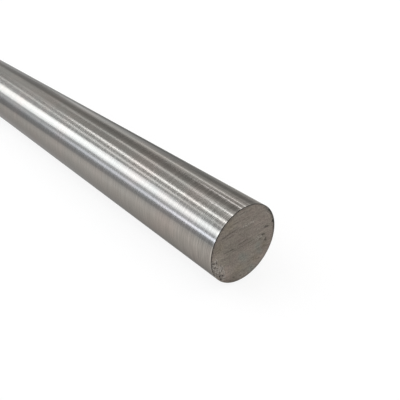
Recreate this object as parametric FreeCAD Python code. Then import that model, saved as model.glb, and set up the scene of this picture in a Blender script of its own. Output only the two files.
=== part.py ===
"""Round metal bar: one solid length of ground steel stock, sawn square at both ends.

The bar lies on a level floor, which is the plane z = 0. Its axis runs along X at the height of its own
radius, and the origin is on the floor under the middle of its length. Sizes are in millimetres.
"""

import FreeCAD, Part
import os

# Driving dimensions
BAR_DIAMETER = 40.0  # over the ground surface
BAR_LENGTH = 500.0  # as sold, from one saw cut to the other
EDGE_BREAK = 0.3  # corner taken off the rim of each sawn face, the same along and across

# The bar's own directions
ALONG_BAR = FreeCAD.Vector(1, 0, 0)
FULL_TURN = 360.0


def half_section(radius, length, corner):
    """Flat face bounded by the bar's axis, its two sawn ends and its ground side, in the XZ plane."""
    start = -length / 2
    end = length / 2
    axis_height = radius
    outline = [
        FreeCAD.Vector(start, 0, axis_height),
        FreeCAD.Vector(start, 0, axis_height + radius - corner),
        FreeCAD.Vector(start + corner, 0, axis_height + radius),
        FreeCAD.Vector(end - corner, 0, axis_height + radius),
        FreeCAD.Vector(end, 0, axis_height + radius - corner),
        FreeCAD.Vector(end, 0, axis_height),
    ]
    return Part.Face(Part.makePolygon(outline + outline[:1]))


def round_bar():
    """The whole bar, turned from its half section in one piece."""
    radius = BAR_DIAMETER / 2
    on_axis = FreeCAD.Vector(0, 0, radius)
    return half_section(radius, BAR_LENGTH, EDGE_BREAK).revolve(on_axis, ALONG_BAR, FULL_TURN)


def write_part(name, shape):
    """Writes one closed solid to parts/NAME.step and prints what it measures."""
    box = shape.BoundBox
    print(name, "valid", shape.isValid(), "solids", len(shape.Solids), "volume", round(shape.Volume, 1))
    print("  from", [round(v, 3) for v in (box.XMin, box.YMin, box.ZMin)])
    print("  to  ", [round(v, 3) for v in (box.XMax, box.YMax, box.ZMax)])
    shape.exportStep(os.path.join("parts", name + ".step"))


os.makedirs("parts", exist_ok=True)
write_part("round_bar", round_bar())
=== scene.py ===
# %% [markdown]
# # A round steel bar, ground and sawn off
# The object is one length of round stainless stock. Its side was ground to size between wheels, which
# leaves a bright skin with very fine scratches running round it. Its two ends were sawn off, which leaves
# a dull face with straight saw marks. Nothing is joined to it, so the whole lesson is about one closed
# mesh, two finishes and the lamps that a bright round surface reflects.
#
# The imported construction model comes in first. It says how thick and how long the bar is, and it is never
# moved or changed. Everything below is measured from it, in metres.

# %% Load the frame
import math
import random

import bmesh
import bpy
from mathutils import Matrix, Vector, noise


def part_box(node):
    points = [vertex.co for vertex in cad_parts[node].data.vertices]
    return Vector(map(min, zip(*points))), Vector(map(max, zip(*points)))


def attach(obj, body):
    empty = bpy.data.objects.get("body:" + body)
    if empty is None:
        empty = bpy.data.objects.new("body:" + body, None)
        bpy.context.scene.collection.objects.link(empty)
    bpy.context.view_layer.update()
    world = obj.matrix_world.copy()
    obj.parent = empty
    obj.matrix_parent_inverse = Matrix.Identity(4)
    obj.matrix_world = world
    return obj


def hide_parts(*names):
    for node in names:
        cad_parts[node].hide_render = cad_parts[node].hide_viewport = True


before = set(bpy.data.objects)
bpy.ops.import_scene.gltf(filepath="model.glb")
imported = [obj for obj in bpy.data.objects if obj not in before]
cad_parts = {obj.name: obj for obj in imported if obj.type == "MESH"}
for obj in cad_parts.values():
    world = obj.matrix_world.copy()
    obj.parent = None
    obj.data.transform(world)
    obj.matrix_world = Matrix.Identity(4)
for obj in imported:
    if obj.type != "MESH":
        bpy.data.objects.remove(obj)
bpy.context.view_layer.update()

MM = 0.001  # one millimetre in metres
scene = bpy.context.scene

# %% [markdown]
# ## Sizes from the frame
# A bar needs only three sizes: its radius, its length and the small corner that is broken off at each rim
# so that it doesn't cut a hand. The radius and the two ends come from the frame's box. The mesh of the
# frame has flat facets, so its box is a few hundredths of a millimetre small, and the visible bar takes
# that size too. It then stays inside the box on every side.

# %% Sizes of the bar
bar_low, bar_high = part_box("round_bar")
RADIUS = min(bar_high.y - bar_low.y, bar_high.z - bar_low.z) / 2
AXIS_HEIGHT = (bar_high.z + bar_low.z) / 2
NEAR_END = bar_high.x
FAR_END = bar_low.x
RIM_CORNER = 0.3 * MM
ALONG_BAR = Vector((1, 0, 0))

print("radius", round(RADIUS / MM, 3), "mm, length", round((NEAR_END - FAR_END) / MM, 1), "mm")

# %% [markdown]
# ## The camera
# A picture of a cylinder says by itself where it was taken from. The two straight outlines meet at the
# vanishing point of the bar's length, and the ellipse of the sawn face gives the distance. Solved
# together they put the camera about five and a half diameters from the near end, above it and to its
# side. The place is written in bar radii, so it would follow a thicker bar. The camera isn't tilted
# sideways, which is what to_track_quat gives when it points -Z along the view and keeps Y up.

# %% Place the camera
CAMERA_FROM_END = Vector((6.3377, -6.6155, 6.597))  # in radii, from the centre of the near sawn face
VIEW_DIRECTION = Vector((-0.65869, 0.55114, -0.51221))
FIELD_OF_VIEW = math.radians(43.975)

near_centre = Vector((NEAR_END, 0, AXIS_HEIGHT))
camera_data = bpy.data.cameras.new("camera")
camera_data.angle = FIELD_OF_VIEW
camera_data.clip_start = 10 * MM
camera = bpy.data.objects.new("camera", camera_data)
camera.location = near_centre + CAMERA_FROM_END * RADIUS
camera.rotation_euler = VIEW_DIRECTION.to_track_quat("-Z", "Y").to_euler()
scene.collection.objects.link(camera)
scene.camera = camera

print("camera at", [round(v, 4) for v in camera.location])

# %% [markdown]
# ## The side of the bar
# A turned form is a line spun round an axis. The line here has four points: the foot of one broken
# corner, the two ends of the ground side, and the foot of the other corner. Spin copies it round the
# bar's axis and joins the copies. A few hundred steps keep the outline round in a close view, while the
# long flat strips between them cost almost nothing. With a full turn the last copy lands on the first,
# and use_merge welds the two.

# %% Spin the side
STEPS_ROUND = 240


def spin_side(bm):
    """Spins the side and both broken corners; the two ends stay open."""
    places = [
        (FAR_END, RADIUS - RIM_CORNER),
        (FAR_END + RIM_CORNER, RADIUS),
        (NEAR_END - RIM_CORNER, RADIUS),
        (NEAR_END, RADIUS - RIM_CORNER),
    ]
    line = [bm.verts.new((x, 0, AXIS_HEIGHT + out)) for x, out in places]
    edges = [bm.edges.new(pair) for pair in zip(line, line[1:])]
    bmesh.ops.spin(
        bm,
        geom=line + edges,
        cent=(0, 0, AXIS_HEIGHT),
        axis=ALONG_BAR,
        angle=math.tau,
        steps=STEPS_ROUND,
        use_merge=True,
    )


bm = bmesh.new()
spin_side(bm)
print("side:", len(bm.verts), "points,", len(bm.faces), "faces")

# %% [markdown]
# ## The sawn faces
# A band saw cuts in straight strokes, so its marks are straight and parallel: a shallow ridge where one
# tooth ran shy, a groove where one was set wide. They could be painted on with a bump map, but then the
# face would be perfectly flat in the mesh. Here they are cut in. The open end is filled with one face.
# Then bisect_plane slices that face along the strokes at uneven distances, and across them at even
# ones, and each corner of the grid is later pushed into the bar by the depth of the mark that it lies on.

# %% Fill and slice both ends
SAW_PITCH = 0.3 * MM  # from one saw mark to the next, on average
SAW_PITCH_SPREAD = 0.4  # how uneven that distance is, as a share of it
CROSS_PITCH = 0.5 * MM  # from one cross cut to the next
CUT_TOLERANCE = 0.001 * MM  # a corner this close to a cut is taken to lie on it
STROKE_TILT = math.radians(1.5)  # of the saw strokes against the floor
STROKE = Vector((0, math.cos(STROKE_TILT), math.sin(STROKE_TILT)))
ACROSS_STROKE = Vector((0, -math.sin(STROKE_TILT), math.cos(STROKE_TILT)))


def end_loop(bm, x):
    """The ring of edges that bounds the open end at x."""
    return [e for e in bm.edges if e.is_boundary and abs(e.verts[0].co.x - x) < RIM_CORNER / 2]


def slice_places(pitch, spread, seed):
    """Distances from the bar's axis at which a face is sliced, uneven by the given share."""
    draw = random.Random(seed)
    place = -RADIUS
    places = []
    while place < RADIUS:
        places.append(place)
        place += pitch * draw.uniform(1 - spread, 1 + spread)
    return places[1:]


def slice_geometry(bm, geometry, normal, places):
    """Cuts faces by parallel planes at the given distances from the axis; returns all the pieces."""
    for place in places:
        cut = bmesh.ops.bisect_plane(
            bm,
            geom=geometry,
            dist=CUT_TOLERANCE,
            plane_co=Vector((0, 0, AXIS_HEIGHT)) + normal * place,
            plane_no=normal,
        )
        geometry = cut["geom"]
    return geometry


NEAR_SEED, FAR_SEED = 11, 23  # each end has its own marks
for name, x, seed in (("near", NEAR_END, NEAR_SEED), ("far", FAR_END, FAR_SEED)):
    face = bmesh.ops.contextual_create(bm, geom=end_loop(bm, x))["faces"][0]
    pieces = [face, *face.edges, *face.verts]
    pieces = slice_geometry(bm, pieces, ACROSS_STROKE, slice_places(SAW_PITCH, SAW_PITCH_SPREAD, seed))
    slice_geometry(bm, pieces, STROKE, slice_places(CROSS_PITCH, 0, seed))
    print(name, "end sliced, now", len(bm.faces), "faces")

# %% [markdown]
# ## Depth of the saw marks
# Each corner of the sliced face goes into the bar, never out of it, so the bar keeps its length. The
# depth is a sum of plain noises. Fine and coarse grooves change quickly across the strokes and slowly
# along them. A broad swell makes the face lean by a few hundredths of a millimetre, as a blade wanders.
# Then there is damage: a tooth that was bent left some deep scratches, and where the blade leaves the bar
# the last of the metal tears instead of being cut, which leaves a rough patch with pits near the rim.
# Each corner also keeps how torn it is, how dark it is made (by dirt and painted shade in its hollows,
# and near the rim), how stained it is and how pale, which the material reads later.

# %% Set the depths of the marks
MARKS = ("torn", "dirt_and_shade", "stain", "shade")  # what each corner keeps for the material
FINE = (0.35 * MM, 5 * MM, 0.022 * MM)  # width across the strokes, run along them, depth
COARSE = (1.3 * MM, 14 * MM, 0.03 * MM)
SWELL = (14 * MM, 30 * MM, 0.06 * MM)
TORN = (0.8 * MM, 1.1 * MM, 0.12 * MM)
SCRATCH_DEPTH = 0.12 * MM
DEEPEST = 1.2 * MM  # no mark reaches further into the bar than this
ON_FACE = 0.01 * MM  # a corner this close to a sawn face is one of its own
TEAR_GRAIN = 1.6 * MM  # how coarse the ragged border of torn metal is
TEAR_RAGGED = 0.5  # how far it wanders, in reaches of the torn spot
TEAR_BORDER = (0.6, 1.2)  # from full strength to none, in reaches from the spot's middle
PIT_GRAIN = 0.7 * MM  # the same three for a pit
PIT_RAGGED = 0.6
PIT_BORDER = (0.3, 1.2)
RIM_DARKENING_GRAIN = 1.2 * MM
GROOVE_DIRT_AND_SHADE = 0.2  # how much of a pit's darkening, dirt and painted shade, the deepest saw groove gets
GROOVE_DIRT_AND_SHADE_RANGE = (0.5, 0.8)  # of the mean of the fine and the coarse groove, from no darkening to the most

# %% [markdown]
# What happened to the near face is listed mark by mark. Each mark has its place on the face, across and
# up from the bar's axis, so it can be moved or left out by itself: one large torn patch at the lower left
# and a few weak torn spots, pits, stray scratches, grey and brown stains, and soft patches where the
# metal is paler or darker. The face is also made darker just inside its rim, most of all on one side.

# %% List the marks of the near face
NEAR_TEARS = [  # across and up, reach across and up, all in millimetres, and strength from 0 to 1
    (-18.3, -3.6, 2.3, 4.0, 0.9),
    (-15.6, -8.4, 3.6, 4.2, 1.0),
    (-13.4, -12.4, 2.6, 2.2, 0.9),
    (1.5, 9.9, 4.5, 1.0, 0.35),
    (13.8, 12.3, 1.8, 2.6, 0.3),
    (9.3, -0.3, 2.4, 1.5, 0.3),
    (-1.5, 17.2, 3.2, 0.9, 0.25),
]
NEAR_PITS = [  # across, up, half width, half height, depth, all in millimetres
    (-18.6, -2.2, 0.7, 0.5, 0.35),
    (-18.9, -3.4, 0.4, 0.8, 0.3),
    (-17.6, -4.6, 0.9, 0.45, 0.35),
    (-17.0, -2.2, 0.4, 0.7, 0.25),
    (-16.3, -5.4, 0.4, 0.4, 0.2),
    (-14.4, -11.1, 0.8, 0.7, 0.5),
    (-12.8, -11.5, 0.8, 0.4, 0.4),
    (-13.8, -13.0, 1.0, 0.5, 0.35),
    (-15.6, -12.2, 0.5, 0.3, 0.25),
    (-6.3, -16.0, 1.1, 0.4, 0.18),
    (-1.5, -17.2, 0.9, 0.4, 0.25),
    (5.4, -15.7, 0.9, 0.5, 0.2),
    (10.2, -12.6, 1.1, 0.5, 0.18),
    (18.4, 5.2, 0.8, 1.2, 0.5),
    (13.4, 3.8, 1.5, 0.8, 0.26),
    (14.7, 3.4, 0.9, 0.6, 0.28),
    (12.1, 0.0, 1.1, 0.6, 0.3),
    (9.2, 0.9, 0.9, 0.3, 0.16),
    (10.6, -1.5, 1.5, 0.35, 0.2),
    (14.0, -3.4, 1.0, 1.2, 0.32),
    (-7.6, 9.9, 0.9, 0.4, 0.2),
    (-8.0, 0.5, 0.8, 0.45, 0.22),
]
PIT_FULL_DIRT_AND_SHADE = 0.4 * MM  # a pit as deep as this gets the most dirt and painted shade
NEAR_SCRATCHES = [  # start across and up, end across and up, strength from 0 to 1, millimetres
    (-12.8, 0.7, -6.3, 0.4, 0.5),
    (-4.2, 1.3, 2.6, 2.0, 0.65),
    (2.2, 2.0, 12.0, 2.9, 0.3),
    (-8.5, -0.8, 7.5, 0.2, 0.3),
    (-15.0, 8.9, -6.5, 10.1, 0.6),
    (-11.0, 10.4, -3.0, 10.5, 0.35),
    (-5.5, 9.6, 7.0, 9.2, 0.3),
    (-12.0, 7.7, -6.0, 8.2, 0.35),
    (-4.0, 17.6, 4.0, 17.2, 0.25),
    (3.0, -2.6, 12.0, -2.0, 0.25),
    (-9.0, -3.9, 4.0, -3.2, 0.2),
    (6.0, -11.5, 11.0, -12.9, 0.3),
    (-10.0, 13.6, 6.0, 14.2, 0.2),
]
SCRATCH_HALF_WIDTH = 0.4 * MM
SCRATCH_BORDER = (0.2, 1.0)  # from full depth to none, in half widths from its middle line
SCRATCH_END = 0.2  # how deep it is at its very ends, as a share of its full depth
SCRATCH_FADE = 6  # how much that share grows from an end, over the scratch's own length
NEAR_STAINS = [  # across, up, reach in millimetres, and 1 for a grey stain or -1 for a brown one
    (9.0, -4.6, 2.6, 1),
    (10.4, -8.6, 2.4, 1),
    (0.4, -8.0, 3.4, 1),
    (-2.0, -5.5, 2.6, 1),
    (5.5, -16.8, 3.2, 1),
    (13.3, -6.0, 2.4, -1),
    (-15.5, 5.0, 3.6, -1),
    (-10.0, 14.0, 4.2, -1),
    (-3.2, -12.5, 3.6, -1),
    (8.0, -11.8, 3.0, -1),
]
NEAR_SHADES = [  # across, up, reach in millimetres, and how much paler the metal is, or darker below 0
    (-18.0, -2.0, 6.5, 0.4),
    (-13.5, -10.5, 6.0, 0.5),
    (-9.0, -14.5, 4.0, 0.15),
    (-8.0, 3.5, 5.0, -0.06),
    (-1.5, 3.0, 6.5, -0.14),
    (12.5, -6.0, 5.5, -0.17),
    (-1.5, 17.0, 4.0, -0.1),
]
SPOT_BORDER = (0.0, 1.3)  # of a stain or a shade, from full strength to none, in its own reaches
RIM_DARKENING = 0.9  # how much darker the face is made just inside its rim, where it is darkest
RIM_DARKENING_LEAST = 0.25  # the share of it where the rim is lightest
RIM_DARKENING_REACH = 2.2 * MM
RIM_DARKENING_SIDE = (0.94, 0.34)  # from the axis, across and up, towards the darkest part of the rim
RIM_DARKENING_SPAN = (0.75, 1.0)  # how nearly a place must point that way, for the least darkening and the most

# %% Work out the marks at one place


def smooth_step(low, high, value):
    """0 below low, 1 above high, and a soft ramp between them."""
    share = min(1.0, max(0.0, (value - low) / (high - low)))
    return share * share * (3 - 2 * share)


def groove(across, along, size, seed):
    """A noise from 0 to 1 that changes over size's width across the strokes and its run along them."""
    width, run = size[:2]
    return 0.5 + 0.5 * noise.noise(Vector((across / width, along / run, seed)))


def torn_share(y, z):
    """How torn the near face is at a place, from 0 where it is cleanly cut to 1."""
    ragged = TEAR_RAGGED * noise.noise(Vector((y, z, 0)) / TEAR_GRAIN)
    worst = 0.0
    for across, up, reach_across, reach_up, strength in NEAR_TEARS:
        far_out = math.hypot((y / MM - across) / reach_across, (z / MM - up) / reach_up)
        worst = max(worst, strength * (1 - smooth_step(*TEAR_BORDER, far_out + ragged)))
    return worst


def pit_share(y, z):
    """How far a place lies inside the nearest pit, from 0 to 1, and that pit's depth in metres."""
    best = (0.0, 0.0)
    ragged = PIT_RAGGED * noise.noise(Vector((y, z, 0)) / PIT_GRAIN)
    for across, up, half_width, half_height, depth in NEAR_PITS:
        distance = math.hypot((y / MM - across) / half_width, (z / MM - up) / half_height)
        share = 1 - smooth_step(*PIT_BORDER, distance + ragged)
        if share > best[0]:
            best = (share, depth * MM)
    return best


def scratch_share(y, z):
    """How deep a place lies in the scratches of the near face, from 0 to 1."""
    deepest = 0.0
    for start_y, start_z, end_y, end_z, strength in NEAR_SCRATCHES:
        start = Vector((start_y, start_z)) * MM
        run = Vector((end_y, end_z)) * MM - start
        offset = Vector((y, z)) - start
        share_along = min(1.0, max(0.0, offset.dot(run) / run.length_squared))
        distance = (offset - run * share_along).length / SCRATCH_HALF_WIDTH
        fade = min(1.0, SCRATCH_FADE * min(share_along, 1 - share_along) + SCRATCH_END)
        deepest = max(deepest, strength * fade * (1 - smooth_step(*SCRATCH_BORDER, distance)))
    return deepest


def soft_spots(y, z, spots):
    """What soft round spots of the near face add up to at a place, held between -1 and 1."""
    total = 0.0
    for across, up, reach, strength in spots:
        distance = math.hypot(y / MM - across, z / MM - up) / reach
        total += strength * (1 - smooth_step(*SPOT_BORDER, distance))
    return min(1.0, max(-1.0, total))


def rim_darkening(y, z, seed):
    """How much darker a place is made because it is near the rim of a sawn face."""
    reach = math.hypot(y, z)
    nearness = smooth_step(RADIUS - RIM_DARKENING_REACH, RADIUS - RIM_CORNER, reach)
    facing = (y * RIM_DARKENING_SIDE[0] + z * RIM_DARKENING_SIDE[1]) / max(reach, MM)
    share = RIM_DARKENING_LEAST + (1 - RIM_DARKENING_LEAST) * smooth_step(*RIM_DARKENING_SPAN, facing)
    return RIM_DARKENING * nearness * share * (1 + noise.noise(Vector((y, z, seed * MM)) / RIM_DARKENING_GRAIN))


# %% Push the marks in


def saw_marks(bm, x, seed, damaged):
    """Pushes the corners of one sawn face into the bar and keeps what the material reads later."""
    inward = -math.copysign(1, x)
    torn_layer, dirt_and_shade_layer, stain_layer, shade_layer = (bm.verts.layers.float[name] for name in MARKS)
    for vertex in [v for v in bm.verts if abs(v.co.x - x) < ON_FACE]:
        y, z = vertex.co.y, vertex.co.z - AXIS_HEIGHT
        place = Vector((0, y, z))
        along, across = place.dot(STROKE), place.dot(ACROSS_STROKE)
        fine = groove(across, along, FINE, seed)
        coarse = groove(across, along, COARSE, seed + 1)
        depth = FINE[-1] * fine + COARSE[-1] * coarse
        depth += SWELL[-1] * groove(across, along, SWELL, seed + 2)
        # dirt and painted shade: the deeper a groove, pit or scratch, the darker its colour is made
        groove_dirt_and_shade = GROOVE_DIRT_AND_SHADE * smooth_step(*GROOVE_DIRT_AND_SHADE_RANGE, (fine + coarse) / 2)
        dirt_and_shade = max(groove_dirt_and_shade, rim_darkening(y, z, seed))
        if damaged:
            tear = torn_share(y, z)
            pit, pit_depth = pit_share(y, z)
            scratch = scratch_share(y, z)
            depth += TORN[-1] * tear * groove(across, along, TORN, seed + 3)
            depth += pit * pit_depth + scratch * SCRATCH_DEPTH
            dirt_and_shade = max(dirt_and_shade, scratch, pit * min(1.0, pit_depth / PIT_FULL_DIRT_AND_SHADE))
            vertex[torn_layer] = tear
            vertex[stain_layer] = soft_spots(y, z, NEAR_STAINS)
            vertex[shade_layer] = soft_spots(y, z, NEAR_SHADES)
        vertex[dirt_and_shade_layer] = dirt_and_shade
        vertex.co.x += inward * min(depth, DEEPEST)


for name in MARKS:
    bm.verts.layers.float.new(name)
saw_marks(bm, NEAR_END, NEAR_SEED, True)
saw_marks(bm, FAR_END, FAR_SEED, False)
deepest = max(NEAR_END - abs(v.co.x) for v in bm.verts)
print("deepest mark", round(deepest / MM, 2), "mm")

# %% [markdown]
# ## Finish the mesh
# The faces are sorted into material slots by the way they point: the ground side, the sawn ends, and the
# broken corner between them. An unrolled map goes on as well. On the side it runs along the bar and round
# it, and on the sawn faces across the saw strokes and along them. Its first direction is the one in
# which light smears, because scratches spread a highlight across themselves, and the shader reads that
# direction from the map.

# %% Sort the faces, unroll them and make the object
GROUND_SLOT, SAWN_SLOT, CORNER_SLOT = 0, 1, 2
ROUND_ENOUGH = 0.1  # a face that points less than this along the bar belongs to its side
SHARP_ANGLE = math.radians(25)  # edges with a larger turn than this stay sharp


def sort_face(face):
    """The material slot of a face, from the way that it points."""
    lengthwise = abs(face.normal.x)
    at_end = min(abs(v.co.x) for v in face.verts) > NEAR_END - DEEPEST - RIM_CORNER
    if not at_end or lengthwise < ROUND_ENOUGH:
        return GROUND_SLOT
    reach = max(math.hypot(v.co.y, v.co.z - AXIS_HEIGHT) for v in face.verts)
    return CORNER_SLOT if reach > RADIUS - RIM_CORNER / 2 else SAWN_SLOT


def unroll(bm):
    """Writes the map: along and round on the side, across and along the strokes on the ends."""
    layer = bm.loops.layers.uv.new("unrolled")
    for face in bm.faces:
        middle = face.calc_center_median()
        turn = math.atan2(middle.y, middle.z - AXIS_HEIGHT)
        for loop in face.loops:
            place = loop.vert.co - Vector((0, 0, AXIS_HEIGHT))
            if face.material_index == SAWN_SLOT:
                loop[layer].uv = (place.dot(ACROSS_STROKE), place.dot(STROKE))
            else:
                own_turn = math.atan2(place.y, place.z)
                own_turn = turn + math.remainder(own_turn - turn, math.tau)
                loop[layer].uv = (place.x, own_turn * RADIUS)


bm.normal_update()
bmesh.ops.recalc_face_normals(bm, faces=bm.faces)
for face in bm.faces:
    face.material_index = sort_face(face)
    face.smooth = True
unroll(bm)

mesh = bpy.data.meshes.new("ground_bar")
bm.to_mesh(mesh)
bm.free()
mesh.set_sharp_from_angle(angle=SHARP_ANGLE)
bar = bpy.data.objects.new("ground_bar", mesh)
scene.collection.objects.link(bar)

print("bar:", len(mesh.vertices), "points,", len(mesh.polygons), "faces")

# %% [markdown]
# ## Node helpers
# A material is a small network of nodes. These helpers keep the cells short: one adds a node and sets its
# values, one links, and one makes a group with named inputs and outputs. A group is a part of a network
# that several materials share, each with its own values.

# %% Helpers for node networks
WHITE = (1, 1, 1, 1)
NOISE_ROUGHNESS = 0.6
NOISE_RANGE = (0.3, 0.7)  # nearly all values of a noise lie in this range


def add_node(tree, kind, values=None, **settings):
    """Adds a node, sets its properties and fills its unlinked inputs by name or number."""
    node = tree.nodes.new(kind)
    for name, value in settings.items():
        setattr(node, name, value)
    for name, value in (values or {}).items():
        node.inputs[name].default_value = value
    return node


def new_group(name, inputs, outputs):
    """A shader node group with float, colour and vector sockets; returns it with its two end nodes."""
    group = bpy.data.node_groups.new(name, "ShaderNodeTree")
    kinds = {"float": "NodeSocketFloat", "color": "NodeSocketColor", "vector": "NodeSocketVector"}
    for direction, sockets in (("INPUT", inputs), ("OUTPUT", outputs)):
        for socket_name, (kind, default) in sockets.items():
            socket = group.interface.new_socket(socket_name, in_out=direction, socket_type=kinds[kind])
            if default is not None:
                socket.default_value = default
    return group, group.nodes.new("NodeGroupInput"), group.nodes.new("NodeGroupOutput")


def feed(tree, socket, value):
    """Links another socket to an input, or writes a plain value into it."""
    if isinstance(value, bpy.types.NodeSocket):
        tree.links.new(value, socket)
    else:
        socket.default_value = value


def math_node(tree, operation, first, second):
    """A maths node on two values; returns its result."""
    node = add_node(tree, "ShaderNodeMath", operation=operation)
    feed(tree, node.inputs[0], first)
    feed(tree, node.inputs[1], second)
    return node.outputs["Value"]


def remap(tree, value, low, high, to_low, to_high):
    """Stretches the range from low to high over another range and clamps it there."""
    limits = {"From Min": low, "From Max": high, "To Min": to_low, "To Max": to_high}
    node = add_node(tree, "ShaderNodeMapRange", limits)
    feed(tree, node.inputs["Value"], value)
    return node.outputs["Result"]


def mix_colors(tree, share, first, second, blend="MIX"):
    """Mixes two colours, or multiplies the first by the second when blend says so."""
    node = add_node(tree, "ShaderNodeMix", data_type="RGBA", blend_type=blend)
    sockets = [s for s in node.inputs if s.enabled]
    for socket, value in zip(sockets, (share, first, second)):
        feed(tree, socket, value)
    return next(s for s in node.outputs if s.enabled)


def noise_node(tree, place, scale, detail):
    """A plain noise of the given scale at the given place; returns its value."""
    node = add_node(tree, "ShaderNodeTexNoise", {"Detail": detail, "Roughness": NOISE_ROUGHNESS})
    feed(tree, node.inputs["Vector"], place)
    feed(tree, node.inputs["Scale"], scale)
    return node.outputs["Fac"]


def add_streaks(tree, colour, value, spread, share=1.0):
    """Makes a colour brighter and darker with a noise, by up to the spread; returns the colour."""
    streak = remap(tree, value, *NOISE_RANGE, 1 - spread, 1 + spread)
    return mix_colors(tree, share, colour, streak, blend="MULTIPLY")


def place_group(tree, group, values):
    """Places a shared group with its own values, each a socket or a plain value."""
    node = add_node(tree, "ShaderNodeGroup", node_tree=group)
    for name, value in values.items():
        feed(tree, node.inputs[name], value)
    return node


# %% [markdown]
# ## Shared effect: fine lines
# A grinding wheel and a saw blade leave the same kind of mark, thousands of fine parallel lines of
# uneven length and strength. Noise gives them when it is squeezed: the coordinates are multiplied by a
# large number across the lines and by a small one along them. There are two sizes, because real
# scratches come from grains of many sizes. The group puts out a value that swings about a half for each
# size. A material feeds them to its colour, its roughness and its bump with its own strength.

# %% Make the group for fine lines


def make_line_group():
    """Node group: noise stretched along one direction, in a fine and a coarse size."""
    group, inside, outside = new_group(
        "fine_lines",
        {
            "Vector": ("vector", None),
            "Fine Scale": ("vector", (5000, 60, 60)),
            "Coarse Scale": ("vector", (900, 25, 25)),
        },
        {"Fine": ("float", None), "Coarse": ("float", None)},
    )
    for size, detail in (("Fine", 2.0), ("Coarse", 3.0)):
        stretch = add_node(group, "ShaderNodeVectorMath", operation="MULTIPLY")
        group.links.new(inside.outputs["Vector"], stretch.inputs[0])
        group.links.new(inside.outputs[size + " Scale"], stretch.inputs[1])
        lines = noise_node(group, stretch.outputs["Vector"], 1.0, detail)
        group.links.new(lines, outside.inputs[size])
    return group


fine_lines = make_line_group()

# %% [markdown]
# ## Shared effect: uneven tone
# No bare metal has one even colour. Handling, oil and a little oxide shift it by a few percent, warmer
# here and greyer there, over patches as large as a fingertip. The group takes a base colour and pulls it
# towards two others by soft noises.

# %% Make the group for uneven tone
PATCH_RANGE = (0.42, 0.66)  # of the noise, from outside a patch to its middle
PATCH_OFFSET = (7.3, 2.1, 5.7)  # so that the patches of one colour don't lie on those of the other


def make_tone_group():
    """Node group: a base colour with soft patches of two other colours."""
    group, inside, outside = new_group(
        "uneven_tone",
        {
            "Vector": ("vector", None),
            "Patch Scale": ("float", 60.0),
            "Color": ("color", (0.3, 0.3, 0.3, 1)),
            "Warm": ("color", (0.3, 0.28, 0.26, 1)),
            "Cool": ("color", (0.28, 0.3, 0.29, 1)),
            "Strength": ("float", 0.5),
        },
        {"Color": ("color", None)},
    )
    colour = inside.outputs["Color"]
    for target, offset in (("Warm", (0, 0, 0)), ("Cool", PATCH_OFFSET)):
        shift = add_node(group, "ShaderNodeVectorMath", {1: offset}, operation="ADD")
        group.links.new(inside.outputs["Vector"], shift.inputs[0])
        patch = noise_node(group, shift.outputs["Vector"], inside.outputs["Patch Scale"], 2.0)
        share = remap(group, patch, *PATCH_RANGE, 0, 1)
        share = math_node(group, "MULTIPLY", share, inside.outputs["Strength"])
        colour = mix_colors(group, share, colour, inside.outputs[target])
    group.links.new(colour, outside.inputs["Color"])
    return group


uneven_tone = make_tone_group()

# %% [markdown]
# ## Ground steel
# Bare metal has no colour of its own under the gloss: everything seen on it is a reflection, tinted by the
# base colour. So Metallic is 1. The grinding lines run round the bar and smear each reflection along it.
# That smear is the shader's anisotropy, with its direction taken from the unrolled map. Larger
# scratches are also bent into the surface by a bump of a few thousandths of a millimetre, which
# frays the borders of the reflected lamps, and each line is a little brighter or darker than the next.
# Towards both ends the scratches get deeper and clearer, and the last of the side before each rim is
# given a painted highlight: its colour is made brighter, as if a slightly rounded edge caught the light.

# %% Helpers for materials


def start_material(name):
    """A material with an empty network but for its output and a Principled shader."""
    material = bpy.data.materials.new(name)
    material.use_nodes = True
    tree = material.node_tree
    tree.nodes.clear()
    shader = tree.nodes.new("ShaderNodeBsdfPrincipled")
    output = tree.nodes.new("ShaderNodeOutputMaterial")
    tree.links.new(shader.outputs["BSDF"], output.inputs["Surface"])
    return material, tree, shader


def fill(node, values):
    """Sets a node's unlinked inputs by name."""
    for name, value in values.items():
        node.inputs[name].default_value = value


def add_bump(tree, shader, height, distance):
    """Bends the shader's surface by a height that runs from 0 to 1, over the given distance."""
    bump = add_node(tree, "ShaderNodeBump", {"Strength": 1.0, "Distance": distance})
    tree.links.new(height, bump.inputs["Height"])
    tree.links.new(bump.outputs["Normal"], shader.inputs["Normal"])


def add_smear(tree, shader):
    """Gives the shader the first direction of the unrolled map, in which light smears."""
    smear = add_node(tree, "ShaderNodeTangent", direction_type="UV_MAP", uv_map="unrolled")
    tree.links.new(smear.outputs["Tangent"], shader.inputs["Tangent"])


# %% Make the ground steel
STEEL = (0.305, 0.292, 0.272, 1)
STEEL_WARM = (0.32, 0.29, 0.268, 1)
STEEL_COOL = (0.285, 0.283, 0.265, 1)
STEEL_EDGE = (0.5, 0.5, 0.5, 1)  # how much of the usual gain a glancing view gives
GROUND_DULLNESS = (0.13, 0.175)  # the roughness of the smoothest and of the roughest line
GROUND_LINES = {"Fine Scale": (2800, 130, 130), "Coarse Scale": (1500, 60, 60)}  # noise cells per metre
GROUND_STREAKS = {"Fine": 0.168, "Coarse": 0.119}  # how much brighter or darker each size of line is
SCRATCH_HEIGHT = 0.0026 * MM  # of the few deep scratches
GRIND_SHARE = 0.3  # how deep the common lines are, as a share of those
RARE = (0.6, 0.72)  # of the values of the fine lines, the range over which a deep scratch sets in
# painted highlight: the last of the side before each rim is made brighter in colour, as if its edge caught
# the light
RIM_HIGHLIGHT_WIDTH = 1.5 * MM  # the last of the side before each rim
RIM_HIGHLIGHT_GAIN = 1.3
SCUFFED_WIDTH = 50 * MM  # towards each rim the scratches get deeper over this length
SCUFFED_GAINS = (0.5, 1.8)  # on their height, away from the ends and at the rim
STREAK_SHARES = (0.46, 1.0)  # how strong their tone is, away from the ends and at the rim


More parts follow.
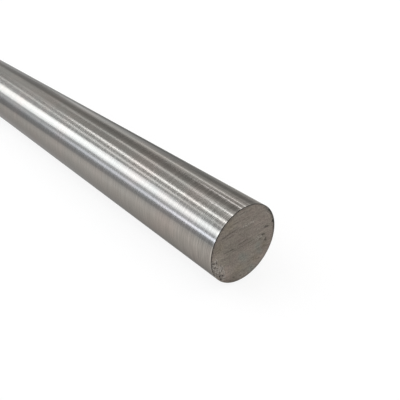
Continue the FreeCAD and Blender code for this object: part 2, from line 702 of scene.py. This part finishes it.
def make_ground_steel():
    """The bright ground side, with scratches running round the bar."""
    material, tree, shader = start_material("ground_steel")
    place = add_node(tree, "ShaderNodeTexCoord").outputs["Object"]

    lines = place_group(tree, fine_lines, {"Vector": place, **GROUND_LINES})
    tone = place_group(tree, uneven_tone, {
        "Vector": place,
        "Patch Scale": 45.0,
        "Color": STEEL,
        "Warm": STEEL_WARM,
        "Cool": STEEL_COOL,
        "Strength": 0.7,
    })
    apart = add_node(tree, "ShaderNodeSeparateXYZ")
    tree.links.new(place, apart.inputs["Vector"])
    from_middle = math_node(tree, "ABSOLUTE", apart.outputs["X"], 0)
    streaky = remap(tree, from_middle, NEAR_END - SCUFFED_WIDTH, NEAR_END, *STREAK_SHARES)
    colour = tone.outputs["Color"]
    for size, spread in GROUND_STREAKS.items():
        colour = add_streaks(tree, colour, lines.outputs[size], spread, streaky)
    # a painted highlight next to each rim, a brighter base colour in place of light caught by the edge
    rim_highlight = remap(tree, from_middle, NEAR_END - RIM_HIGHLIGHT_WIDTH, NEAR_END - RIM_CORNER, 1, RIM_HIGHLIGHT_GAIN)
    colour = mix_colors(tree, 1.0, colour, rim_highlight, blend="MULTIPLY")
    tree.links.new(colour, shader.inputs["Base Color"])
    dull = remap(tree, lines.outputs["Fine"], *NOISE_RANGE, *GROUND_DULLNESS)
    tree.links.new(dull, shader.inputs["Roughness"])

    common = math_node(tree, "MULTIPLY", lines.outputs["Fine"], GRIND_SHARE)
    height = math_node(tree, "ADD", common, remap(tree, lines.outputs["Fine"], *RARE, 0, 1))
    scuffed = remap(tree, from_middle, NEAR_END - SCUFFED_WIDTH, NEAR_END, *SCUFFED_GAINS)
    add_bump(tree, shader, math_node(tree, "MULTIPLY", height, scuffed), SCRATCH_HEIGHT)
    add_smear(tree, shader)
    fill(shader, {"Metallic": 1.0, "Anisotropic": 0.65, "Specular Tint": STEEL_EDGE})
    return material


# %% [markdown]
# ## Sawn steel
# The sawn face is the same steel with a torn, matt surface, so it is darker and shows no clear picture of
# anything. A trace of cutting oil and first rust turns it brown in places. The saw lines run along the
# strokes, like the ridges in the mesh. How torn, how darkened, how stained and how pale each place is was
# written to the mesh when the marks were cut. The shader reads all four back: torn metal is a mix of fresh
# bright specks and dark gaps, stains are grey or brown, soft patches are paler or darker, and the colour is
# darkened just inside the rim and, as dirt and painted shade, in the bottoms of pits, scratches and deep
# grooves.

# %% Make the sawn steel
SAWN = (0.236, 0.207, 0.179, 1)
SAWN_WARM = (0.249, 0.201, 0.178, 1)
SAWN_OLIVE = (0.214, 0.199, 0.163, 1)
STAIN_GREY = (0.214, 0.211, 0.185, 1)
STAIN_BROWN = (0.22, 0.191, 0.151, 1)
TORN_BRIGHT = (0.54, 0.513, 0.477, 1)
TORN_DARK = (0.135, 0.122, 0.108, 1)
# dirt and painted shade: the near black that the darkened places go towards
DIRT_AND_SHADE = (0.035, 0.032, 0.03, 1)
GREY_SHARE, BROWN_SHARE = 0.9, 0.8  # how much of its colour a full stain takes on
TORN_SHARE, DIRT_AND_SHADE_SHARE = 0.75, 0.95  # the same for torn metal and for the darkened places
SAWN_LINES = {"Fine Scale": (60, 400, 3000), "Coarse Scale": (30, 110, 900)}  # noise cells per metre
FINE_SPREAD, COARSE_SPREAD, SPECK_SPREAD = 0.22, 0.14, 0.2  # how much brighter or darker each makes it
SPECK_SCALE = 1300.0
SPECK_RANGE = (0.4, 0.62)  # of their noise, from a dark gap to a bright speck
SAW_LINE_HEIGHT = 0.01 * MM


def make_sawn_steel():
    """The dull sawn end, with saw lines, a torn patch, and dirt and painted shade in its pits."""
    material, tree, shader = start_material("sawn_steel")
    place = add_node(tree, "ShaderNodeTexCoord").outputs["Object"]
    torn, dirt_and_shade, stain, shade = (
        add_node(tree, "ShaderNodeAttribute", attribute_name=name).outputs["Fac"] for name in MARKS
    )

    lines = place_group(tree, fine_lines, {"Vector": place, **SAWN_LINES})
    tone = place_group(tree, uneven_tone, {
        "Vector": place,
        "Patch Scale": 110.0,
        "Color": SAWN,
        "Warm": SAWN_WARM,
        "Cool": SAWN_OLIVE,
        "Strength": 0.5,
    })
    grey = remap(tree, stain, 0, 1, 0, GREY_SHARE)
    colour = mix_colors(tree, grey, tone.outputs["Color"], STAIN_GREY)
    brown = remap(tree, stain, 0, -1, 0, BROWN_SHARE)
    colour = mix_colors(tree, brown, colour, STAIN_BROWN)
    colour = mix_colors(tree, 1.0, colour, math_node(tree, "ADD", shade, 1), blend="MULTIPLY")
    specks = noise_node(tree, place, SPECK_SCALE, 2.0)
    colour = add_streaks(tree, colour, lines.outputs["Fine"], FINE_SPREAD)
    colour = add_streaks(tree, colour, lines.outputs["Coarse"], COARSE_SPREAD)
    colour = add_streaks(tree, colour, specks, SPECK_SPREAD)

    torn_colour = mix_colors(tree, remap(tree, specks, *SPECK_RANGE, 0, 1), TORN_DARK, TORN_BRIGHT)
    colour = mix_colors(tree, math_node(tree, "MULTIPLY", torn, TORN_SHARE), colour, torn_colour)
    # dirt and painted shade in the hollows, and the darker band inside the rim
    colour = mix_colors(tree, math_node(tree, "MULTIPLY", dirt_and_shade, DIRT_AND_SHADE_SHARE), colour, DIRT_AND_SHADE)
    tree.links.new(colour, shader.inputs["Base Color"])

    add_bump(tree, shader, lines.outputs["Fine"], SAW_LINE_HEIGHT)
    add_smear(tree, shader)
    fill(shader, {"Metallic": 1.0, "Roughness": 0.6, "Anisotropic": 0.4})
    return material


# %% [markdown]
# ## The broken corner
# The rim was touched with a file. Its narrow band is given a dark colour, a painted shade of the small
# burr at its edge, so from most sides it is a thin dark line round the face. Low on the near side the band
# is bare metal without that painted shade, and there it is light.

# %% Make the filed corner and dress the bar
# painted shade: the dark colour of the filed band, in place of the shadow of its small burr
CORNER_SHADED = (0.05, 0.046, 0.042, 1)
CORNER_BARE = (0.36, 0.34, 0.31, 1)
BARE_DIRECTION = (0, -0.5, -0.87)  # from the axis towards the middle of the bare part
BARE_SPAN = (0.8, 0.98)  # how far that way a place must lie, in radii, from shaded to bare
BARE_UNEVEN = 0.15  # how much that limit wanders, in radii
BARE_SCALE = 500.0  # of the noise that it wanders by


def make_filed_corner():
    """The narrow filed band at each rim, dark with painted shade but for one bare part."""
    material, tree, shader = start_material("filed_corner")
    place = add_node(tree, "ShaderNodeTexCoord").outputs["Object"]
    from_axis = add_node(tree, "ShaderNodeVectorMath", {1: (0, 0, AXIS_HEIGHT)}, operation="SUBTRACT")
    tree.links.new(place, from_axis.inputs[0])
    towards = add_node(tree, "ShaderNodeVectorMath", {1: BARE_DIRECTION}, operation="DOT_PRODUCT")
    tree.links.new(from_axis.outputs["Vector"], towards.inputs[0])
    patchy = noise_node(tree, place, BARE_SCALE, 2.0)
    uneven = remap(tree, patchy, *NOISE_RANGE, -BARE_UNEVEN * RADIUS, BARE_UNEVEN * RADIUS)
    reach = math_node(tree, "ADD", towards.outputs["Value"], uneven)
    bare = remap(tree, reach, BARE_SPAN[0] * RADIUS, BARE_SPAN[1] * RADIUS, 0, 1)
    colour = mix_colors(tree, bare, CORNER_SHADED, CORNER_BARE)
    tree.links.new(colour, shader.inputs["Base Color"])
    fill(shader, {"Metallic": 1.0, "Roughness": 0.4})
    return material


for material in (make_ground_steel(), make_sawn_steel(), make_filed_corner()):
    bar.data.materials.append(material)

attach(bar, "root")
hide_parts("round_bar")

# %% [markdown]
# ## The floor
# The floor is a plain pale sheet. The picture has a white ground, so a part of the floor's light is its
# own, for the camera and for reflections alike. The rest is daylight on the sheet, which the bar's shadow
# takes away.

# %% Lay the floor
FLOOR_REACH = 4.0
FLOOR_COLOUR = (0.2, 0.2, 0.2, 1)
FLOOR_GLOW = 0.84


def make_floor():
    """A large flat sheet on the plane that the bar lies on."""
    bm = bmesh.new()
    bmesh.ops.create_grid(bm, x_segments=1, y_segments=1, size=FLOOR_REACH)
    mesh = bpy.data.meshes.new("floor")
    bm.to_mesh(mesh)
    bm.free()
    floor = bpy.data.objects.new("floor", mesh)
    scene.collection.objects.link(floor)
    material, tree, shader = start_material("floor_sheet")
    fill(shader, {"Base Color": FLOOR_COLOUR, "Roughness": 1.0, "Specular IOR Level": 0.0})
    shader.inputs["Emission Color"].default_value = WHITE
    path = add_node(tree, "ShaderNodeLightPath")
    seen = math_node(tree, "MAXIMUM", path.outputs["Is Camera Ray"], path.outputs["Is Glossy Ray"])
    seen = math_node(tree, "MAXIMUM", seen, path.outputs["Is Transmission Ray"])
    tree.links.new(math_node(tree, "MULTIPLY", seen, FLOOR_GLOW), shader.inputs["Emission Strength"])
    mesh.materials.append(material)


make_floor()

# %% [markdown]
# ## The lamps
# A ground bar is a mirror that is bent one way, so its picture is a picture of the lamps. Each bright line
# along the bar is one long lamp, and the lines run almost with the bar because the lamps hang in
# parallel rows. They hang high and far off, so the whole bar sees each lamp in the same
# direction. One angle then says where a row is: how high it stands above the horizon on the camera's side.

# %% Hang the rows of lamps
ROW_TURN = math.radians(150)  # of the rows, seen from above, from the way that the near face points
ROW_DIRECTION = Vector((math.cos(ROW_TURN), math.sin(ROW_TURN), 0))
ROW_SIDE = Vector((-math.sin(ROW_TURN), math.cos(ROW_TURN), 0))  # level, towards the camera's side
UP = Vector((0, 0, 1))
LAMP_DISTANCE = 12.0

LAMPS = {  # height above the horizon and width in degrees, start and end along the row, strength, tint
    "sill_near": (8.5, 5.5, -20, 13, 2.75, (0.89, 0.935, 1.08)),
    "sill_far": (8.5, 5.5, 13, 28, 1.55, (0.89, 0.935, 1.08)),
    "sill_end": (8.5, 5.5, 28, 38, 0.75, (0.95, 0.97, 1.02)),
    "sill_gap": (15.5, 5.0, -20, 16, 0.35, (0.95, 0.98, 1.04)),
    "window_core": (25.2, 6.5, -20, 37, 0.85, (0.96, 1.0, 1.05)),
    "window_near": (24.6, 13.2, -20, 20, 1.75, (0.96, 1.0, 1.05)),
    "window_middle": (25.6, 15.5, 20, 31, 2.1, (0.95, 1.0, 1.06)),
    "window_far": (23.0, 16.5, 31, 39, 2.8, (0.96, 1.0, 1.04)),
    "window_end": (21.3, 15.0, 39, 60, 3.4, (0.97, 1.0, 1.02)),
    "window_foot_near": (14.0, 6.0, 16, 33, 0.25, (0.96, 1.0, 1.04)),
    "window_foot_far": (12.0, 6.0, 33, 60, 0.5, (0.96, 1.0, 1.04)),
    "window_top": (33.0, 5.0, 36, 60, 0.35, (0.96, 1.0, 1.04)),
    "row_40_near": (40.5, 3.0, 0, 22, 1.2, (0.97, 1.0, 1.03)),
    "row_40_far": (40.5, 3.0, 22, 52, 2.2, (0.97, 1.0, 1.03)),
    "row_52_near": (52.0, 3.5, -20, 46, 3.75, (0.98, 1.0, 1.03)),
    "row_52_far": (50.5, 4.5, 46, 58, 0.65, (0.98, 1.0, 1.03)),
    "row_66": (65.5, 4.0, -20, 33, 0.5, (1.0, 1.0, 1.0)),
    "row_72_near": (71.5, 3.2, -20, 34, 3.9, (0.98, 0.99, 1.03)),
    "row_72_far": (72.5, 5.0, 34, 56, 1.2, (0.98, 1.0, 1.02)),
    "row_72_end": (67.5, 6.0, 56, 67, 0.75, (0.98, 1.0, 1.02)),
    "row_79": (79.5, 4.0, -20, 41, 0.4, (1.0, 1.0, 1.0)),
    "row_99": (99.0, 3.0, -20, 54, 2.3, (0.98, 1.0, 1.03)),
    "row_113_near": (113.0, 3.5, -20, 57, 1.8, (0.98, 1.0, 1.03)),
    "row_113_far": (113.0, 4.5, 57, 72, 1.1, (0.98, 1.0, 1.03)),
    "row_133": (133.0, 4.0, 50, 68, 0.35, (0.98, 1.0, 1.02)),
    "far_beam": (112.0, 22.0, 57, 76, 0.5, (1.0, 1.0, 0.99)),
    "far_glow": (47.0, 26.0, 52, 72, 0.25, (1.0, 1.0, 0.99)),
    "end_glow": (53.0, 16.0, 60, 72, 0.3, (1.0, 1.0, 0.99)),
}


def hang_lamp(name, height, width, start, end, strength, tint):
    """One long soft lamp, parallel to the others, seen from the bar at the given angles."""
    outward = ROW_SIDE * math.cos(math.radians(height)) + UP * math.sin(math.radians(height))
    first = LAMP_DISTANCE * math.tan(math.radians(start))
    last = LAMP_DISTANCE * math.tan(math.radians(end))
    data = bpy.data.lights.new(name, "AREA")
    data.shape = "RECTANGLE"
    data.size = last - first
    data.size_y = 2 * LAMP_DISTANCE * math.tan(math.radians(width / 2))
    data.color = tint
    data.energy = strength * math.pi * data.size * data.size_y
    lamp = bpy.data.objects.new(name, data)
    turn = Matrix((ROW_DIRECTION, outward.cross(ROW_DIRECTION), outward)).transposed()
    place = outward * LAMP_DISTANCE + ROW_DIRECTION * (first + last) / 2
    lamp.matrix_world = Matrix.Translation(place) @ turn.to_4x4()
    lamp.visible_camera = False
    scene.collection.objects.link(lamp)
    return lamp


for name, values in LAMPS.items():
    hang_lamp(name, *values)

# %% [markdown]
# The picture doesn't show the bar's back. Without lamps of its own it would look dull there, so the rows
# go on to the other end of the room, and a second window stands behind the bar. These lamps show on the
# bar alone and leave the floor as it is.

# %% Hang the lamps for the back
BACK_LAMPS = {
    "back_row_52": (52.0, 3.5, -60, -20, 3.0, (0.98, 1.0, 1.03)),
    "back_row_72": (71.5, 3.2, -60, -20, 3.0, (0.98, 0.99, 1.03)),
    "back_row_99": (99.0, 3.0, -60, -20, 2.3, (0.98, 1.0, 1.03)),
    "back_row_113": (113.0, 3.5, -60, -20, 1.8, (0.98, 1.0, 1.03)),
    "back_row_133": (132.0, 3.0, -45, 35, 1.8, (0.98, 1.0, 1.03)),
    "back_window": (152.0, 12.0, -45, 35, 1.9, (0.97, 1.0, 1.04)),
}
for name, values in BACK_LAMPS.items():
    lamp = hang_lamp(name, *values)
    lamp.visible_diffuse = False

# %% [markdown]
# ## The room
# Between the lamps the bar reflects the room, which is a soft grey all round. It isn't one grey: the
# ceiling between two rows is darker straight above, and paler beyond it, and daylight from the window
# side is a little blue. The world takes the direction of each ray, works out how far round the rows it
# points, and looks the grey up on a colour ramp. Towards the far end of the rows a second ramp takes
# over, because there the bar sees the wall of the room instead of its ceiling. The camera alone sees
# plain white behind the floor, as in a studio picture.

# %% Fill the room with soft grey
NEAR_TONES = {  # degrees from the horizon on the camera's side, over the top, to the other horizon
    0: (0.65, 0.69, 0.75),
    20: (0.67, 0.71, 0.77),
    40: (0.69, 0.7, 0.71),
    60: (0.66, 0.65, 0.64),
    76: (0.58, 0.57, 0.56),
    87: (0.39, 0.38, 0.37),
    99: (0.55, 0.54, 0.53),
    118: (0.62, 0.61, 0.6),
    134: (0.66, 0.65, 0.64),
    150: (0.44, 0.44, 0.43),
    165: (0.53, 0.53, 0.52),
    180: (0.6, 0.6, 0.6),
}
FAR_TONES = {
    0: (1.2, 1.2, 1.2),
    30: (1.0, 1.0, 1.0),
    45: (0.7, 0.7, 0.7),
    56: (0.5, 0.5, 0.5),
    68: (0.6, 0.6, 0.6),
    78: (1.0, 1.0, 1.0),
    95: (1.8, 1.81, 1.82),
    120: (1.8, 1.82, 1.84),
    134: (1.6, 1.62, 1.65),
    150: (1.3, 1.32, 1.35),
    165: (1.15, 1.17, 1.2),
    180: (1.0, 1.02, 1.05),
}
FAR_START = math.sin(math.radians(71))  # of the angle along the rows
FAR_FULL = math.sin(math.radians(85.5))


def along_axis(tree, direction, axis):
    """How far a direction points along an axis."""
    part = add_node(tree, "ShaderNodeVectorMath", {1: axis}, operation="DOT_PRODUCT")
    tree.links.new(direction, part.inputs[0])
    return part.outputs["Value"]


def tone_ramp(tree, value, tones):
    """A colour ramp with a stop at each key of tones; returns its colour."""
    first, last = min(tones), max(tones)
    ramp = add_node(tree, "ShaderNodeValToRGB")
    tree.links.new(remap(tree, value, first, last, 0, 1), ramp.inputs["Fac"])
    stops = ramp.color_ramp.elements
    stops.remove(stops[-1])
    for place, tone in tones.items():
        share = (place - first) / (last - first)
        stop = stops[0] if place == first else stops.new(share)
        stop.position = share
        stop.color = (*tone, 1)
    return ramp.outputs["Color"]


def make_room():
    """The soft grey light of the room, banded in the direction of the lamps."""
    world = bpy.data.worlds.new("room")
    world.use_nodes = True
    tree = world.node_tree
    direction = add_node(tree, "ShaderNodeTexCoord").outputs["Generated"]
    up = along_axis(tree, direction, UP)
    turn = math_node(tree, "ARCTAN2", up, along_axis(tree, direction, ROW_SIDE))
    angle = math_node(tree, "MULTIPLY", turn, math.degrees(1))
    far = remap(tree, along_axis(tree, direction, ROW_DIRECTION), FAR_START, FAR_FULL, 0, 1)
    colour = mix_colors(tree, far, tone_ramp(tree, angle, NEAR_TONES), tone_ramp(tree, angle, FAR_TONES))
    seen = add_node(tree, "ShaderNodeLightPath").outputs["Is Camera Ray"]
    colour = mix_colors(tree, seen, colour, WHITE)
    tree.links.new(colour, tree.nodes["Background"].inputs["Color"])
    scene.world = world


make_room()
scene.view_settings.view_transform = "Standard"

# %% [markdown]
# ## Grey cards
# On a white ground a polished bar loses its outline, because its edges reflect the ground. A photographer
# puts grey cards round such a piece, and the edges come out dark. One card stands in front, parallel to
# the lamps, and draws the dark line under the reflected window. One lies behind the bar. The third lies
# in front of it and gets darker towards the bar, as a table does in the bar's own shade. Each lying card
# changes in two directions, so its tone is the product of two colour ramps. The cards are props: they
# show in reflections alone and cast no shadow.

# %% Place the grey cards
STANDING_FOOT = Vector((0.109, -0.252, 0))
STANDING_RUN = (-0.3, 0.45)  # along the rows from the foot, to its two ends
STANDING_HEIGHT = 0.034
STANDING_TONE = (0.57, 0.58, 0.61, 1)

LYING_HEIGHT = 0.5 * MM
BEHIND = ((-1.5, 0.02), (0.26, 1.5))  # two opposite corners of the card behind the bar
BEHIND_AXIS = (1, 0.88, 0)  # its tone changes along this direction
BEHIND_TONES = {  # millimetres along that direction, from the far end to the near end
    -60: (1.05, 1.05, 1.03),
    -13: (0.95, 0.95, 0.93),
    52: (0.66, 0.66, 0.64),
    118: (0.65, 0.65, 0.63),
    170: (0.8, 0.8, 0.78),
    209: (1.08, 1.07, 1.04),
    236: (1.32, 1.3, 1.25),
    260: (1.5, 1.47, 1.41),
}
AWAY_BEHIND = (0, 1, 0)
BEHIND_GAINS = {  # millimetres from the line that the bar rests on: darker away from the bar
    50: (0.78, 0.78, 0.78),
    85: (0.66, 0.66, 0.66),
    140: (0.57, 0.57, 0.57),
    230: (0.63, 0.63, 0.63),
}
FRONT = ((-1.5, -0.2), (0.6, -0.002))
AWAY_IN_FRONT = (0, -1, 0)
FRONT_TONES = {  # millimetres from the line that the bar rests on, away from the bar
    12: (0.53, 0.515, 0.5),
    16: (0.68, 0.66, 0.64),
    19: (0.92, 0.885, 0.86),
    27: (0.97, 0.93, 0.905),
    37: (1.01, 0.965, 0.935),
    60: (1.14, 1.09, 1.06),
    107: (1.0, 0.96, 0.94),
    160: (0.85, 0.83, 0.81),
}
FRONT_GAINS = {  # millimetres along the bar: it is paler and less warm towards the far end
    110: (1.08, 1.1, 1.12),
    190: (1.0, 1.0, 1.0),
}


def place_card(name, corners):
    """A flat card with the given corners, seen by reflections alone; returns its network and shader."""
    bm = bmesh.new()
    bmesh.ops.contextual_create(bm, geom=[bm.verts.new(place) for place in corners])
    mesh = bpy.data.meshes.new(name)
    bm.to_mesh(mesh)
    bm.free()
    card = bpy.data.objects.new(name, mesh)
    scene.collection.objects.link(card)
    card.visible_camera = False
    card.visible_diffuse = False
    card.visible_shadow = False
    material, tree, shader = start_material(name)
    fill(shader, {"Base Color": (0, 0, 0, 1), "Specular IOR Level": 0.0, "Emission Strength": 1.0})
    mesh.materials.append(material)
    return tree, shader


def lay_card(name, low, high, shades):
    """A card just above the floor; its tone is the product of one ramp along each given axis."""
    corners = [(low[0], low[1]), (high[0], low[1]), (high[0], high[1]), (low[0], high[1])]
    tree, shader = place_card(name, [(x, y, LYING_HEIGHT) for x, y in corners])
    place = add_node(tree, "ShaderNodeTexCoord").outputs["Object"]
    colour = WHITE
    for axis, tones in shades:
        millimetres = math_node(tree, "DIVIDE", along_axis(tree, place, axis), MM)
        colour = mix_colors(tree, 1.0, colour, tone_ramp(tree, millimetres, tones), blend="MULTIPLY")
    tree.links.new(colour, shader.inputs["Emission Color"])


foot_ends = [STANDING_FOOT + ROW_DIRECTION * run for run in STANDING_RUN]
top_ends = [place + UP * STANDING_HEIGHT for place in reversed(foot_ends)]
tree, shader = place_card("standing_card", foot_ends + top_ends)
shader.inputs["Emission Color"].default_value = STANDING_TONE
lay_card("card_behind", *BEHIND, [(BEHIND_AXIS, BEHIND_TONES), (AWAY_BEHIND, BEHIND_GAINS)])
lay_card("card_in_front", *FRONT, [(AWAY_IN_FRONT, FRONT_TONES), (ALONG_BAR, FRONT_GAINS)])
